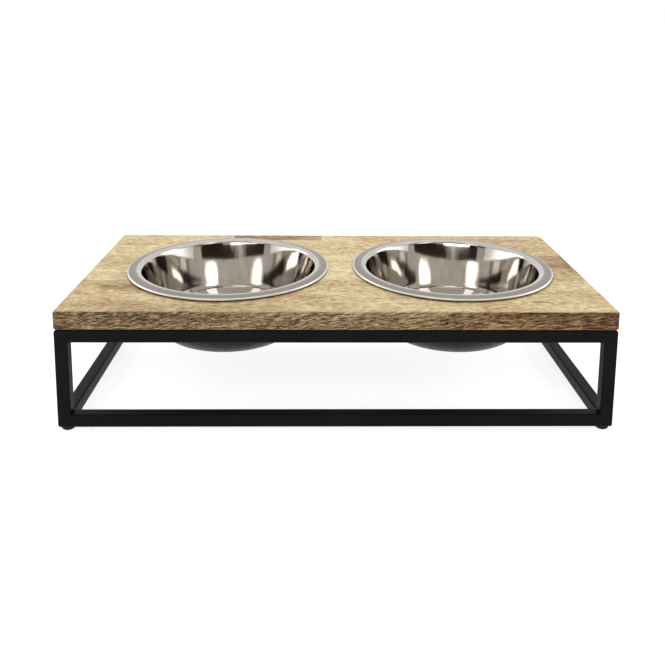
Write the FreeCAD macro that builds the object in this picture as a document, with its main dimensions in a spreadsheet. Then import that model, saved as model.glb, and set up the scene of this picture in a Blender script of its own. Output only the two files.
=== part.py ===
import FreeCAD, Part
import math
import os
import Sketcher
from FreeCAD import Placement, Rotation, Vector

# Double pet bowl stand: a low wooden panel on a welded frame of square tube, with two steel bowls
# that drop into round holes. +Z is up and +X runs along the stand. The origin lies on the floor
# below the middle of the panel.

# Driving sizes, in millimetres and degrees
SIZES = {
    # Panel: edge-glued staves, cut to these margins outside the rims of the bowls, eased along the edges
    "panel_end_margin": 25.9,
    "panel_side_margin": 18.5,
    "panel_thickness": 13.8,
    "panel_corner_round": 2,
    "panel_edge_round": 1.5,
    "front_stave_width": 67,
    "rear_stave_width": 66,
    # Frame: two mitred rectangles of square tube, joined by side rails
    "frame_inset": 0.2,
    "frame_height": 73,
    "tube_width": 9.5,
    "tube_wall": 1,
    "tube_round": 1.3,
    "frame_corner_round": 2.6,
    "weld_width": 2,
    # Feet: domed rubber bumpers below the corners
    "foot_height": 3.5,
    "foot_tread_radius": 2.4,
    "foot_round": 2.8,
    "foot_inset": 1.2,
    # Bowls: deep-drawn sheet with a conical wall, a rounded lip, a sloping flange and a curled edge
    "bowl_gap": 20.4,
    "bowl_pair_shift": 4.4,
    "bowl_sheet": 0.7,
    "bowl_depth": 53.3,
    "bowl_corner_radius": 23,
    "bowl_wall_taper": 11.4,
    "bowl_mouth_radius": 70,
    "bowl_lip_radius": 3,
    "bowl_flange_fall": 5.5,
    "bowl_flange_width": 11.5,
    "bowl_curl_radius": 1.0,
    "bowl_seat_gap": 0.3,
    "bowl_hole_clearance": 1,
    # Wood screws: heads inside the top rails, on the upper wall, reached through holes in the lower wall
    "screw_radius": 1.6,
    "screw_length": 10,
    "screw_tip": 3,
    "screw_head_radius": 2.9,
    "screw_head_height": 2,
    "screw_hole_clearance": 0.1,
    "screw_access_clearance": 0.4,
    "screw_end_distance": 49,
    # How far a cutting shape runs past what it cuts
    "overrun": 5,
}

# Two places nearer than this are the same, and an edge is tested at this many points
TOLERANCE = 1e-6
EDGE_SAMPLES = 5
RIGHT_ANGLE = 90

# Shape of the screw's head, as shares of its radius and height
HEAD_CROWN_SHARE = 0.65
HEAD_SKIRT_SHARE = 0.4

doc = FreeCAD.newDocument("double_pet_bowl_stand")
sheet = doc.addObject("Spreadsheet::Sheet", "Sizes")
for row, (alias, value) in enumerate(SIZES.items(), start=1):
    sheet.set(f"A{row}", alias)
    sheet.set(f"B{row}", str(value))
    sheet.setAlias(f"B{row}", alias)
doc.recompute()

# Sizes that follow from the driving ones, as expressions for the sheet's cells
BOWL_RIM_RADIUS = "(Sizes.bowl_mouth_radius + Sizes.bowl_flange_width)"
BOWL_SPACING = f"(2 * {BOWL_RIM_RADIUS} + Sizes.bowl_gap)"
PANEL_LENGTH = f"({BOWL_SPACING} + 2 * {BOWL_RIM_RADIUS} + 2 * Sizes.panel_end_margin)"
PANEL_DEPTH = f"(2 * {BOWL_RIM_RADIUS} + 2 * Sizes.panel_side_margin)"
FRAME_LENGTH = f"({PANEL_LENGTH} - 2 * Sizes.frame_inset)"
FRAME_DEPTH = f"({PANEL_DEPTH} - 2 * Sizes.frame_inset)"
FRAME_TOP = "(Sizes.foot_height + Sizes.frame_height)"
PANEL_TOP = f"({FRAME_TOP} + Sizes.panel_thickness)"
TUBE_HALF = "(Sizes.tube_width / 2)"
RAIL_X = f"({FRAME_LENGTH} / 2 - {TUBE_HALF})"
RAIL_Y = f"({FRAME_DEPTH} / 2 - {TUBE_HALF})"
LOWER_RAIL_Z = f"(Sizes.foot_height + {TUBE_HALF})"
UPPER_RAIL_Z = f"({FRAME_TOP} - {TUBE_HALF})"
LEG_Z = "(Sizes.foot_height + Sizes.frame_height / 2)"
SIDE_RAIL_LENGTH = f"({FRAME_DEPTH} - 2 * Sizes.tube_width)"
SCREW_HOLE_RADIUS = "(Sizes.screw_radius + Sizes.screw_hole_clearance)"
SCREW_ACCESS_RADIUS = "(Sizes.screw_head_radius + Sizes.screw_access_clearance)"
SCREW_BITE = "(Sizes.screw_length - Sizes.tube_wall)"
SCREW_SPACING = f"({FRAME_LENGTH} / 2 - Sizes.screw_end_distance)"
BOWL_HOLE_RADIUS = "(Sizes.bowl_mouth_radius + Sizes.bowl_sheet + Sizes.bowl_hole_clearance)"
BOWL_X = {
    "left": f"(Sizes.bowl_pair_shift - {BOWL_SPACING} / 2)",
    "right": f"(Sizes.bowl_pair_shift + {BOWL_SPACING} / 2)",
}
SIDES = {"left": -1, "right": 1}
ENDS = {"front": -1, "rear": 1}
nodes = []


def size(expression):
    """The present value of an expression of the sheet's cells."""
    return float(sheet.evalExpression(expression))


def place(thing, rotation, x="0", y="0", z="0"):
    """Turns an object and binds its position to expressions."""
    thing.Placement = Placement(Vector(size(x), size(y), size(z)), rotation)
    for axis, expression in zip("xyz", (x, y, z)):
        thing.setExpression(f".Placement.Base.{axis}", expression)


def turned(x_axis, z_axis):
    """The rotation that carries X and Z to the given directions."""
    return Rotation(x_axis, z_axis.cross(x_axis), z_axis, "ZXY")


def node(thing, label):
    thing.Label = label
    nodes.append(thing)
    return thing


def sketch_on(body, role, name):
    """A new sketch on one of the body's own origin planes."""
    sketch = body.newObject("Sketcher::SketchObject", name)
    plane = next(p for p in body.Origin.OriginFeatures if p.Role == role)
    sketch.AttachmentSupport = [(plane, "")]
    sketch.MapMode = "FlatFace"
    return sketch


def bind(sketch, kind, items, expression):
    """A constraint whose value is bound to an expression."""
    value = size(expression)
    if kind == "Angle":
        value = math.radians(value)
    index = sketch.addConstraint(Sketcher.Constraint(kind, *items, value))
    label = f"size{index}"
    sketch.renameConstraint(index, label)
    sketch.setExpression(f"Constraints.{label}", expression)


def pin(sketch, geometry, point, x, y):
    """Ties a point of the sketch to its two coordinates."""
    bind(sketch, "DistanceX", (-1, 1, geometry, point), x)
    bind(sketch, "DistanceY", (-1, 1, geometry, point), y)


def polygon(sketch, corners, arc_centre=None):
    """A closed outline through corners given as expressions. Its last side is straight, or an arc."""
    spots = [Vector(size(x), size(y), 0) for x, y in corners]
    first = sketch.GeometryCount
    count = len(corners)
    sides = [Part.LineSegment(spots[k], spots[(k + 1) % count]) for k in range(count)]
    if arc_centre:
        centre = Vector(size(arc_centre[0]), size(arc_centre[1]), 0)
        bulge = (spots[0] + spots[-1]) / 2 - centre
        halfway = centre + bulge.normalize() * centre.distanceToPoint(spots[0])
        sides[-1] = Part.Arc(spots[-1], halfway, spots[0])
    for side in sides:
        sketch.addGeometry(side, False)
    for k in range(count):
        after = first + (k + 1) % count
        sketch.addConstraint(Sketcher.Constraint("Coincident", first + k, 2, after, 1))
    for k, (x, y) in enumerate(corners):
        pin(sketch, first + k, 1, x, y)
    if arc_centre:
        bind(sketch, "DistanceX", (-1, 1, first + count - 1, 3), arc_centre[0])


def rectangle(sketch, half_x, half_y):
    low_x, low_y = f"-{half_x}", f"-{half_y}"
    polygon(sketch, [(low_x, low_y), (half_x, low_y), (half_x, half_y), (low_x, half_y)])


def circle(sketch, x, y, radius):
    spot = Vector(size(x), size(y), 0)
    index = sketch.addGeometry(Part.Circle(spot, Vector(0, 0, 1), size(radius)), False)
    pin(sketch, index, 3, x, y)
    bind(sketch, "Radius", (index,), radius)


def pad(body, sketch, length, midplane):
    feature = body.newObject("PartDesign::Pad", "Pad")
    feature.Profile = sketch
    feature.Midplane = midplane
    feature.setExpression("Length", length)
    doc.recompute()
    return feature


def pocket(body, sketch, way=0, depth=None):
    """Cuts the sketch through the body: both ways, or along (1) or against (-1) the sketch's normal."""
    before = body.Shape.Volume
    feature = body.newObject("PartDesign::Pocket", "Pocket")
    feature.Profile = sketch
    feature.Midplane = way == 0
    feature.Reversed = way == 1
    if depth is None:
        feature.Type = "ThroughAll"
    else:
        feature.setExpression("Length", depth)
    doc.recompute()
    if body.Shape.Volume >= before:
        raise RuntimeError(f"{body.Label}: {sketch.Name} cuts nothing")
    return feature


def fillet(body, chosen, radius):
    """Rounds the edges of the body's last feature that the test picks."""
    base = body.Tip
    names = [f"Edge{k}" for k, edge in enumerate(base.Shape.Edges, start=1) if chosen(edge)]
    feature = body.newObject("PartDesign::Fillet", "Round")
    feature.Base = (base, names)
    feature.setExpression("Radius", radius)
    doc.recompute()
    return feature


def upright(edge):
    """True for a straight edge along Z."""
    first, last = edge.Vertexes[0].Point, edge.Vertexes[-1].Point
    return len(edge.Vertexes) == 2 and math.hypot(first.x - last.x, first.y - last.y) < TOLERANCE


def level(edge):
    """True for an edge that lies in one horizontal plane."""
    heights = [point.z for point in edge.discretize(EDGE_SAMPLES)]
    return max(heights) - min(heights) < TOLERANCE


# Wooden panel. The glued blank is one body here, and its staves are cut from it below.
SCREW_SPOTS = [(f"({k} * {SCREW_SPACING})", f"({end} * {RAIL_Y})")
               for end in ENDS.values() for k in (-1, 0, 1)]
SCREW_SPOTS += [(f"({side} * {RAIL_X})", "0") for side in SIDES.values()]
panel = doc.addObject("PartDesign::Body", "panel")
place(panel, Rotation(), z=FRAME_TOP)
outline = sketch_on(panel, "XY_Plane", "PanelOutline")
rectangle(outline, f"({PANEL_LENGTH} / 2)", f"({PANEL_DEPTH} / 2)")
pad(panel, outline, "Sizes.panel_thickness", False)
fillet(panel, upright, "Sizes.panel_corner_round")
fillet(panel, level, "Sizes.panel_edge_round")
bowl_holes = sketch_on(panel, "XY_Plane", "BowlHoles")
for bowl_x in BOWL_X.values():
    circle(bowl_holes, bowl_x, "0", BOWL_HOLE_RADIUS)
pocket(panel, bowl_holes)
pilot_holes = sketch_on(panel, "XY_Plane", "PilotHoles")
for spot_x, spot_y in SCREW_SPOTS:
    circle(pilot_holes, spot_x, spot_y, SCREW_HOLE_RADIUS)
pocket(panel, pilot_holes, 1, f"({SCREW_BITE} + Sizes.screw_hole_clearance)")


def stave(label, x_span, y_span):
    """The share of the panel that lies within two spans."""
    blank = doc.addObject("Part::Box", f"{label}_blank")
    blank.setExpression("Length", f"{x_span[1]} - {x_span[0]}")
    blank.setExpression("Width", f"{y_span[1]} - {y_span[0]}")
    blank.setExpression("Height", "Sizes.panel_thickness + 2 * Sizes.overrun")
    place(blank, Rotation(), x_span[0], y_span[0], f"{FRAME_TOP} - Sizes.overrun")
    piece = doc.addObject("Part::Common", label)
    piece.Base = panel
    piece.Tool = blank
    node(piece, label)


# Staves. The holes part the middle stave into two ends and a bridge between the bowls.
PAST_X = f"({PANEL_LENGTH} / 2 + Sizes.overrun)"
PAST_Y = f"({PANEL_DEPTH} / 2 + Sizes.overrun)"
FRONT_JOINT = f"(Sizes.front_stave_width - {PANEL_DEPTH} / 2)"
REAR_JOINT = f"({PANEL_DEPTH} / 2 - Sizes.rear_stave_width)"
FULL_SPAN = (f"-{PAST_X}", PAST_X)
MIDDLE_SPAN = (FRONT_JOINT, REAR_JOINT)
stave("top_stave_front", FULL_SPAN, (f"-{PAST_Y}", FRONT_JOINT))
stave("top_stave_rear", FULL_SPAN, (REAR_JOINT, PAST_Y))
stave("top_stave_middle_left", (f"-{PAST_X}", BOWL_X["left"]), MIDDLE_SPAN)
stave("top_stave_middle_center", (BOWL_X["left"], BOWL_X["right"]), MIDDLE_SPAN)
stave("top_stave_middle_right", (BOWL_X["right"], PAST_X), MIDDLE_SPAN)


def ground_corner(sketch, x, y, way):
    """Outlines what is ground off a square corner of the frame with its tip at x, y, to leave it round."""
    inner_x = f"({x} + Sizes.frame_corner_round)"
    inner_y = f"({y} - {way} * Sizes.frame_corner_round)"
    outer_x, outer_y = f"({x} - Sizes.overrun)", f"({y} + {way} * Sizes.overrun)"
    corners = [(x, inner_y), (outer_x, inner_y), (outer_x, outer_y), (inner_x, outer_y), (inner_x, y)]
    polygon(sketch, corners[::way], (inner_x, inner_y))


def tube(label, length, rotation, spot, mitred, screw_places=()):
    """A square tube along its own Z. Mitres close towards its own +X, and screws go in along its -X.

    The tips of the mitres, welded and ground, are round in the plane of the rectangle.
    """
    body = doc.addObject("PartDesign::Body", label)
    place(body, rotation, *spot)
    section = sketch_on(body, "XY_Plane", "Section")
    rectangle(section, TUBE_HALF, TUBE_HALF)
    pad(body, section, length, True)
    fillet(body, upright, "Sizes.tube_round")
    bore = sketch_on(body, "XY_Plane", "Bore")
    bore_half = f"({TUBE_HALF} - Sizes.tube_wall)"
    rectangle(bore, bore_half, bore_half)
    pocket(body, bore)
    if mitred:
        mitres = sketch_on(body, "XZ_Plane", "Mitres")
        near, far = f"(-{TUBE_HALF} - Sizes.overrun)", f"({TUBE_HALF} + Sizes.overrun)"
        past = f"({length} / 2 + Sizes.overrun)"
        heel = f"({length} / 2 - Sizes.tube_width - Sizes.overrun)"
        for end in (1, -1):
            tip, back = f"({end} * {past})", f"({end} * {heel})"
            polygon(mitres, [(near, tip), (far, back), (far, tip)])
        pocket(body, mitres)
        ground = sketch_on(body, "XZ_Plane", "GroundCorners")
        for end in (1, -1):
            ground_corner(ground, f"-{TUBE_HALF}", f"({end} * {length} / 2)", end)
        pocket(body, ground)
    if screw_places:
        drillings = (("ScrewHoles", SCREW_HOLE_RADIUS, -1), ("AccessHoles", SCREW_ACCESS_RADIUS, 1))
        for name, radius, way in drillings:
            holes = sketch_on(body, "YZ_Plane", name)
            for along in screw_places:
                circle(holes, "0", along, radius)
            pocket(body, holes, way)
    node(body, label)


# Frame. Each end rectangle has a rail above and below and a leg left and right, mitred at 45 degrees.
X_AXIS, Y_AXIS, Z_AXIS = Vector(1, 0, 0), Vector(0, 1, 0), Vector(0, 0, 1)
LONG_RAIL_SCREWS = [f"({k} * {SCREW_SPACING})" for k in (-1, 0, 1)]
for end, y_sign in ENDS.items():
    rail_y = f"({y_sign} * {RAIL_Y})"
    top_turn, bottom_turn = turned(-Z_AXIS, X_AXIS), turned(Z_AXIS, X_AXIS)
    tube(f"{end}_top_rail", FRAME_LENGTH, top_turn, ("0", rail_y, UPPER_RAIL_Z), True, LONG_RAIL_SCREWS)
    tube(f"{end}_bottom_rail", FRAME_LENGTH, bottom_turn, ("0", rail_y, LOWER_RAIL_Z), True)
    for side, x_sign in SIDES.items():
        leg_turn = turned(X_AXIS * -x_sign, Z_AXIS)
        leg_spot = (f"({x_sign} * {RAIL_X})", rail_y, LEG_Z)
        tube(f"{end}_{side}_leg", "Sizes.frame_height", leg_turn, leg_spot, True)

# Side rails, cut square between the two rectangles
for side, x_sign in SIDES.items():
    rail_x = f"({x_sign} * {RAIL_X})"
    along = turned(-Z_AXIS, Y_AXIS)
    tube(f"{side}_top_rail", SIDE_RAIL_LENGTH, along, (rail_x, "0", UPPER_RAIL_Z), False, ["0"])
    tube(f"{side}_bottom_rail", SIDE_RAIL_LENGTH, along, (rail_x, "0", LOWER_RAIL_Z), False)


def flat_sketch(name, rotation):
    """A sketch that stands alone, for shapes that several solids share."""
    sketch = doc.addObject("Sketcher::SketchObject", name)
    sketch.Placement = Placement(Vector(), rotation)
    return sketch


def group(label, members):
    """Like pieces that share a node."""
    set_of_pieces = doc.addObject("Part::Compound", label)
    set_of_pieces.Links = members
    node(set_of_pieces, label)


# Fillet welds in the inner corners at both ends of each side rail: one beside it, one across its inner face
weld_section = flat_sketch("WeldSection", Rotation())
polygon(weld_section, [("0", "0"), ("Sizes.weld_width", "0"), ("0", "Sizes.weld_width")])


def weld(rotation, spot):
    bead = doc.addObject("Part::Extrusion", "weld")
    bead.Base = weld_section
    bead.DirMode = "Custom"
    bead.Dir = Z_AXIS
    bead.Symmetric = True
    bead.Solid = True
    bead.setExpression("LengthFwd", "Sizes.tube_width - 2 * Sizes.tube_round")
    place(bead, rotation, *spot)
    return bead


LEVELS = {1: (LOWER_RAIL_Z, "(Sizes.foot_height + Sizes.tube_width)"),
          -1: (UPPER_RAIL_Z, f"({FRAME_TOP} - Sizes.tube_width)")}
welds = []
for x_sign in SIDES.values():
    inner_x = f"({x_sign} * ({RAIL_X} - {TUBE_HALF}))"
    for y_sign in ENDS.values():
        inner_y = f"({y_sign} * ({RAIL_Y} - {TUBE_HALF}))"
        to_middle_x, to_middle_y = X_AXIS * -x_sign, Y_AXIS * -y_sign
        for z_sign, (rail_z, face_z) in LEVELS.items():
            to_middle_z = Z_AXIS * z_sign
            beside = turned(to_middle_x, to_middle_x.cross(to_middle_y))
            across = turned(to_middle_z, to_middle_z.cross(to_middle_y))
            welds.append(weld(beside, (inner_x, inner_y, rail_z)))
            welds.append(weld(across, (f"({x_sign} * {RAIL_X})", inner_y, face_z)))
group("frame_welds", welds)


def foot(label, x, y):
    """A glued-on bumper, turned about its axis, with a large round down to a small flat tread."""
    body = doc.addObject("PartDesign::Body", label)
    place(body, Rotation(), x, y)
    profile = sketch_on(body, "XZ_Plane", "FootProfile")
    wide, tall = "(Sizes.foot_tread_radius + Sizes.foot_round)", "Sizes.foot_height"
    polygon(profile, [("0", "0"), (wide, "0"), (wide, tall), ("0", tall)])
    turning = body.newObject("PartDesign::Revolution", "Turning")
    turning.Profile = profile
    turning.ReferenceAxis = (profile, ["V_Axis"])
    doc.recompute()

    def lower_edge(edge):
        return level(edge) and abs(edge.Vertexes[0].Point.z) < TOLERANCE

    fillet(body, lower_edge, "Sizes.foot_round")
    node(body, label)


# Feet, set in a little from the legs' middles so that each bridges the front or rear rail and the side rail
for end, y_sign in ENDS.items():
    for side, x_sign in SIDES.items():
        foot_x = f"{x_sign} * ({RAIL_X} - Sizes.foot_inset)"
        foot_y = f"{y_sign} * ({RAIL_Y} - Sizes.foot_inset)"
        foot(f"foot_{end}_{side}", foot_x, foot_y)

# Wood screws with pan heads, driven up from inside the top rails
STANDING = Rotation(X_AXIS, 90)
screw_profile = flat_sketch("ScrewProfile", STANDING)
crown = f"(Sizes.screw_head_radius * {HEAD_CROWN_SHARE})"
skirt = f"(-Sizes.screw_head_height * {HEAD_SKIRT_SHARE})"
polygon(screw_profile, [
    ("0", "-Sizes.screw_head_height"),
    (crown, "-Sizes.screw_head_height"),
    ("Sizes.screw_head_radius", skirt),
    ("Sizes.screw_head_radius", "0"),
    ("Sizes.screw_radius", "0"),
    ("Sizes.screw_radius", "Sizes.screw_length - Sizes.screw_tip"),
    ("0", "Sizes.screw_length"),
])
screws = []
for spot_x, spot_y in SCREW_SPOTS:
    screw = doc.addObject("Part::Revolution", "screw")
    screw.Source = screw_profile
    screw.Axis = Z_AXIS
    screw.Solid = True
    place(screw, Rotation(), spot_x, spot_y, f"({FRAME_TOP} - Sizes.tube_wall)")
    screws.append(screw)
group("top_screws", screws)


def bowl_section():
    """Meridian of the bowl's inner face: tangent floor, corner, wall, lip, flange and curl."""
    sketch = flat_sketch("BowlSection", STANDING)
    floor_z = -size("Sizes.bowl_depth")
    corner_r = size("Sizes.bowl_corner_radius")
    mouth_r = size("Sizes.bowl_mouth_radius")
    lip_r = size("Sizes.bowl_lip_radius")
    curl_r = size("Sizes.bowl_curl_radius")
    lean = -math.radians(size("Sizes.bowl_wall_taper"))
    fall = math.radians(size("Sizes.bowl_flange_fall"))
    curl = Vector(size(BOWL_RIM_RADIUS) - curl_r, size("Sizes.bowl_seat_gap") + curl_r, 0)
    corner_z = floor_z + corner_r
    floor_r = mouth_r - (corner_r + corner_z * math.sin(lean)) / math.cos(lean)
    corner = Vector(floor_r, corner_z, 0)
    wall_foot = corner + Vector(math.cos(lean), math.sin(lean), 0) * corner_r
    wall_way = Vector(-math.sin(lean), math.cos(lean), 0)
    flange_end = curl + Vector(math.sin(fall), math.cos(fall), 0) * curl_r
    flange_way = Vector(-math.cos(fall), math.sin(fall), 0)

    # The lip's centre lies one lip radius outside the wall and one below the flange
    wall_out = Vector(math.cos(lean), math.sin(lean), 0)
    flange_down = Vector(-math.sin(fall), -math.cos(fall), 0)
    start = wall_foot + wall_out * lip_r
    other = flange_end + flange_down * lip_r
    gap = other - start
    run = (gap.x * flange_way.y - gap.y * flange_way.x) / (
        wall_way.x * flange_way.y - wall_way.y * flange_way.x)
    lip = start + wall_way * run
    lip_foot, lip_top = lip - wall_out * lip_r, lip - flange_down * lip_r

    up = Vector(0, 0, 1)
    right_angle = math.radians(RIGHT_ANGLE)
    floor_line = sketch.addGeometry(Part.LineSegment(Vector(0, floor_z, 0), Vector(floor_r, floor_z, 0)))
    corner_arc = sketch.addGeometry(Part.ArcOfCircle(Part.Circle(corner, up, corner_r), -right_angle, lean))
    wall_line = sketch.addGeometry(Part.LineSegment(wall_foot, lip_foot))
    lip_arc = sketch.addGeometry(
        Part.ArcOfCircle(Part.Circle(lip, up, lip_r), right_angle - fall, math.pi + lean))
    flange_line = sketch.addGeometry(Part.LineSegment(lip_top, flange_end))
    curl_arc = sketch.addGeometry(
        Part.ArcOfCircle(Part.Circle(curl, up, curl_r), -right_angle, right_angle - fall))
    mouth = sketch.addGeometry(Part.Point(Vector(mouth_r, 0, 0)), True)

    smooth = [(floor_line, 2, corner_arc, 1), (corner_arc, 2, wall_line, 1), (wall_line, 2, lip_arc, 2),
              (lip_arc, 1, flange_line, 1), (flange_line, 2, curl_arc, 2)]
    for joint in smooth:
        sketch.addConstraint(Sketcher.Constraint("Tangent", *joint))
    sketch.addConstraint(Sketcher.Constraint("Horizontal", floor_line))
    sketch.addConstraint(Sketcher.Constraint("PointOnObject", floor_line, 1, -2))
    sketch.addConstraint(Sketcher.Constraint("PointOnObject", mouth, 1, -1))
    sketch.addConstraint(Sketcher.Constraint("PointOnObject", mouth, 1, wall_line))
    sketch.addConstraint(Sketcher.Constraint("Vertical", curl_arc, 1, curl_arc, 3))
    bind(sketch, "DistanceY", (-1, 1, floor_line, 2), "-Sizes.bowl_depth")
    bind(sketch, "Angle", (wall_line,), f"{RIGHT_ANGLE} - Sizes.bowl_wall_taper")
    pin(sketch, curl_arc, 3, f"{BOWL_RIM_RADIUS} - Sizes.bowl_curl_radius",
        "Sizes.bowl_seat_gap + Sizes.bowl_curl_radius")
    bind(sketch, "DistanceX", (-1, 1, mouth, 1), "Sizes.bowl_mouth_radius")
    bind(sketch, "Radius", (corner_arc,), "Sizes.bowl_corner_radius")
    bind(sketch, "Radius", (lip_arc,), "Sizes.bowl_lip_radius")
    bind(sketch, "Radius", (curl_arc,), "Sizes.bowl_curl_radius")
    bind(sketch, "Angle", (flange_line,), "-Sizes.bowl_flange_fall")
    return sketch


# Bowls. The meridian is thickened to the sheet's gauge, away from the food, and spun about the bowl's axis.
meridian = bowl_section()
sheet_section = doc.addObject("Part::Offset2D", "BowlSheet")
sheet_section.Source = meridian
sheet_section.Mode = "Skin"
sheet_section.Fill = True
sheet_section.setExpression("Value", "-Sizes.bowl_sheet")
doc.recompute()
for side, bowl_x in BOWL_X.items():
    bowl = doc.addObject("Part::Revolution", f"bowl_{side}")
    bowl.Source = sheet_section
    bowl.Axis = Z_AXIS
    bowl.Solid = True
    place(bowl, Rotation(), bowl_x, "0", PANEL_TOP)
    node(bowl, f"bowl_{side}")

# Every object has to be sound before anything is written
doc.recompute()
for thing in doc.Objects:
    if "Invalid" in thing.State or "Error" in thing.State:
        raise RuntimeError(f"{thing.Label} failed: {thing.State}")
for thing in nodes:
    if thing.Shape.isNull() or not thing.Shape.isValid() or not thing.Shape.Solids:
        raise RuntimeError(f"{thing.Label} has no sound solid")
os.makedirs("parts", exist_ok=True)
for thing in nodes:
    thing.Shape.exportStep(f"parts/{thing.Label}.step")
    print(f"{thing.Label}: {len(thing.Shape.Solids)} solid(s), {thing.Shape.Volume:.1f} mm3")
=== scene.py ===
import math

import bmesh
import bpy
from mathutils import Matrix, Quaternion, Vector


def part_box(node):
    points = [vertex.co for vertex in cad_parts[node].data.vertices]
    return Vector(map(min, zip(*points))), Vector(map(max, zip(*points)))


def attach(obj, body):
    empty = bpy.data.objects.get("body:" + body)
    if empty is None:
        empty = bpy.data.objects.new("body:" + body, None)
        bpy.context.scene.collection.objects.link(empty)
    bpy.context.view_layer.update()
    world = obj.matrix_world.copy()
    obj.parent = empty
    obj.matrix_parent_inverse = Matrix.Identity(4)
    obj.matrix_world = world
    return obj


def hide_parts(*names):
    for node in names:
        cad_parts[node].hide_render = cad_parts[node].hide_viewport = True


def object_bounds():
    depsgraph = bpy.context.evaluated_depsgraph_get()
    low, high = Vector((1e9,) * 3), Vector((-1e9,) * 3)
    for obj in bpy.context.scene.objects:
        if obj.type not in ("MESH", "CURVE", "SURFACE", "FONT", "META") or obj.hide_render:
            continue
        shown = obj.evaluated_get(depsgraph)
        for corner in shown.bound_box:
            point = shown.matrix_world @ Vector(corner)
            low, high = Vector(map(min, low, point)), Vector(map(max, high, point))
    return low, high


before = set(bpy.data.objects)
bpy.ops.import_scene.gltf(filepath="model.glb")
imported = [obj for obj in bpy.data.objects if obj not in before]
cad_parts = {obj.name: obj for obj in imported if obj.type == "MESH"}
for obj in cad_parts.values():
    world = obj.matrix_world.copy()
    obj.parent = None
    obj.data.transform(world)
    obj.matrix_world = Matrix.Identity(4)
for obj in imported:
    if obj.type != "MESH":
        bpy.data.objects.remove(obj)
cad_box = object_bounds()

# Frame: twelve lengths of square mild-steel tube, two mitred rectangles joined by butted side rails,
# welded, ground at the corners and powder coated. Baked matt powder has a dull black face, a faint
# orange peel and a low sheen that only shows at a slant.
MM = 0.001
POWDER_BLACK = "#0b090d"
POWDER_WORN = "#121014"
POWDER_CLOUD = 30.0
ORANGE_PEEL = 1.6
PEEL_DEPTH = 0.1 * MM


def linear(hex_colour):
    """An sRGB hex value as a linear colour."""
    channels = [int(hex_colour[k:k + 2], 16) / 255 for k in (1, 3, 5)]
    return tuple(c / 12.92 if c <= 0.04045 else ((c + 0.055) / 1.055) ** 2.4 for c in channels) + (1.0,)


def add(tree, kind, inputs=None, stops=None, **settings):
    """Adds a node with its settings. An input is a value or a socket, and stops are a ramp's colours."""
    node = tree.nodes.new(kind)
    for name, value in settings.items():
        setattr(node, name, value)
    for name, value in (inputs or {}).items():
        if isinstance(value, bpy.types.NodeSocket):
            tree.links.new(value, node.inputs[name])
        else:
            node.inputs[name].default_value = value
    for k, (position, hex_colour) in enumerate(stops or ()):
        elements = node.color_ramp.elements
        element = elements[k] if k < len(elements) else elements.new(position)
        element.position = position
        element.color = linear(hex_colour)
    return node


def new_material(name, **values):
    """A material with one surface shader, whose plain values are set on its own sockets."""
    material = bpy.data.materials.new(name)
    material.use_nodes = True
    tree = material.node_tree
    tree.nodes.clear()
    sockets = {key.replace("_", " "): value for key, value in values.items()}
    shader = add(tree, "ShaderNodeBsdfPrincipled", sockets)
    add(tree, "ShaderNodeOutputMaterial", {"Surface": shader.outputs[0]})
    return material, tree, shader


def millimetres(tree):
    """The place on the piece, in millimetres."""
    place = add(tree, "ShaderNodeTexCoord").outputs["Object"]
    scaled = add(tree, "ShaderNodeVectorMath", {0: place, 1: (1 / MM,) * 3}, operation="MULTIPLY")
    return scaled.outputs[0]


def dress(node_names, material):
    """Gives CAD nodes a finish."""
    for name in node_names:
        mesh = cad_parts[name].data
        mesh.materials.clear()
        mesh.materials.append(material)


powder_coat, tree, shader = new_material(
    "matt_black_powder_coat", Roughness=0.5, IOR=1.5, Specular_IOR_Level=0.1)
place = millimetres(tree)
cloud = add(tree, "ShaderNodeTexNoise", {"Vector": place, "Scale": 1 / POWDER_CLOUD, "Detail": 3.0})
tone = add(tree, "ShaderNodeValToRGB", {0: cloud.outputs[0]},
           stops=[(0.35, POWDER_BLACK), (0.7, POWDER_WORN)])
tree.links.new(tone.outputs[0], shader.inputs["Base Color"])
peel = add(tree, "ShaderNodeTexNoise", {"Vector": place, "Scale": 1 / ORANGE_PEEL, "Detail": 1.0})
bump = add(tree, "ShaderNodeBump", {"Strength": 0.12, "Distance": PEEL_DEPTH, "Height": peel.outputs[0]})
tree.links.new(bump.outputs[0], shader.inputs["Normal"])
tubes = [f"{end}_{piece}" for end in ("front", "rear")
         for piece in ("top_rail", "bottom_rail", "left_leg", "right_leg")]
tubes += [f"{side}_{piece}" for side in ("left", "right") for piece in ("top_rail", "bottom_rail")]
dress(tubes, powder_coat)

# Weld beads: short runs of weld metal in the inner corners at both ends of each side rail, laid in
# overlapping ripples and coated with the frame. Each run lies on the two faces it joins.
BEAD_WIDTH = 2.0 * MM
BEAD_LENGTH = 6.9 * MM
BEAD_FLATNESS = 0.75
BEAD_SHARP = math.radians(50)
RIPPLE_PITCH = 1.1 * MM
RIPPLE_SHARE = 0.09
BEAD_STEPS = 36
BEAD_ARC = 7


def new_piece(name, mesh, body, replaced, slot, *materials):
    """Puts a mesh on a CAD body in place of CAD nodes, with its finish."""
    piece = bpy.data.objects.new(name, mesh)
    bpy.context.scene.collection.objects.link(piece)
    for material in materials:
        mesh.materials.append(material)
    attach(piece, body)
    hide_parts(*replaced)
    return piece


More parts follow.
